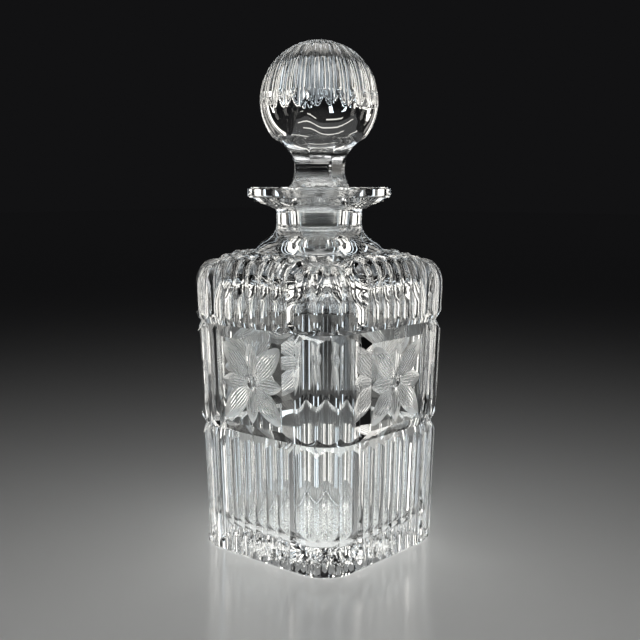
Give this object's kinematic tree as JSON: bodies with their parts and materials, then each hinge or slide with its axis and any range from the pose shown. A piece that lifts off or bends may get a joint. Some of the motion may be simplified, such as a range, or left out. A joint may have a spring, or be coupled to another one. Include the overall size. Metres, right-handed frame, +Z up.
{
  "type": "decanter",
  "caption": "Square cut-crystal decanter with fluted bands, a cut flower panel on each face, a flat round pouring lip and a fluted ball stopper that lifts out of the neck.",
  "frame": {"origin": "centre of the foot's resting plane, on the bottle's axis", "axes": "+Z up along the bottle's axis towards the stopper; +X and +Y are the outward normals of two neighbouring faces"},
  "size_m": [0.0988, 0.0988, 0.2472],
  "materials": {
    "body_crystal": "clear polished lead crystal, flower petals left matt",
    "stopper_crystal": "clear polished lead crystal, plug ground matt"
  },
  "bodies": {
    "bottle": {"decanter_body": "body_crystal"},
    "stopper": {"stopper": "stopper_crystal"}
  },
  "joints": [
    {"name": "stopper_lift", "type": "slide", "parent": "bottle", "child": "stopper", "axis": [0, 0, 1], "range_m": [0, 0.08]}
  ]
}
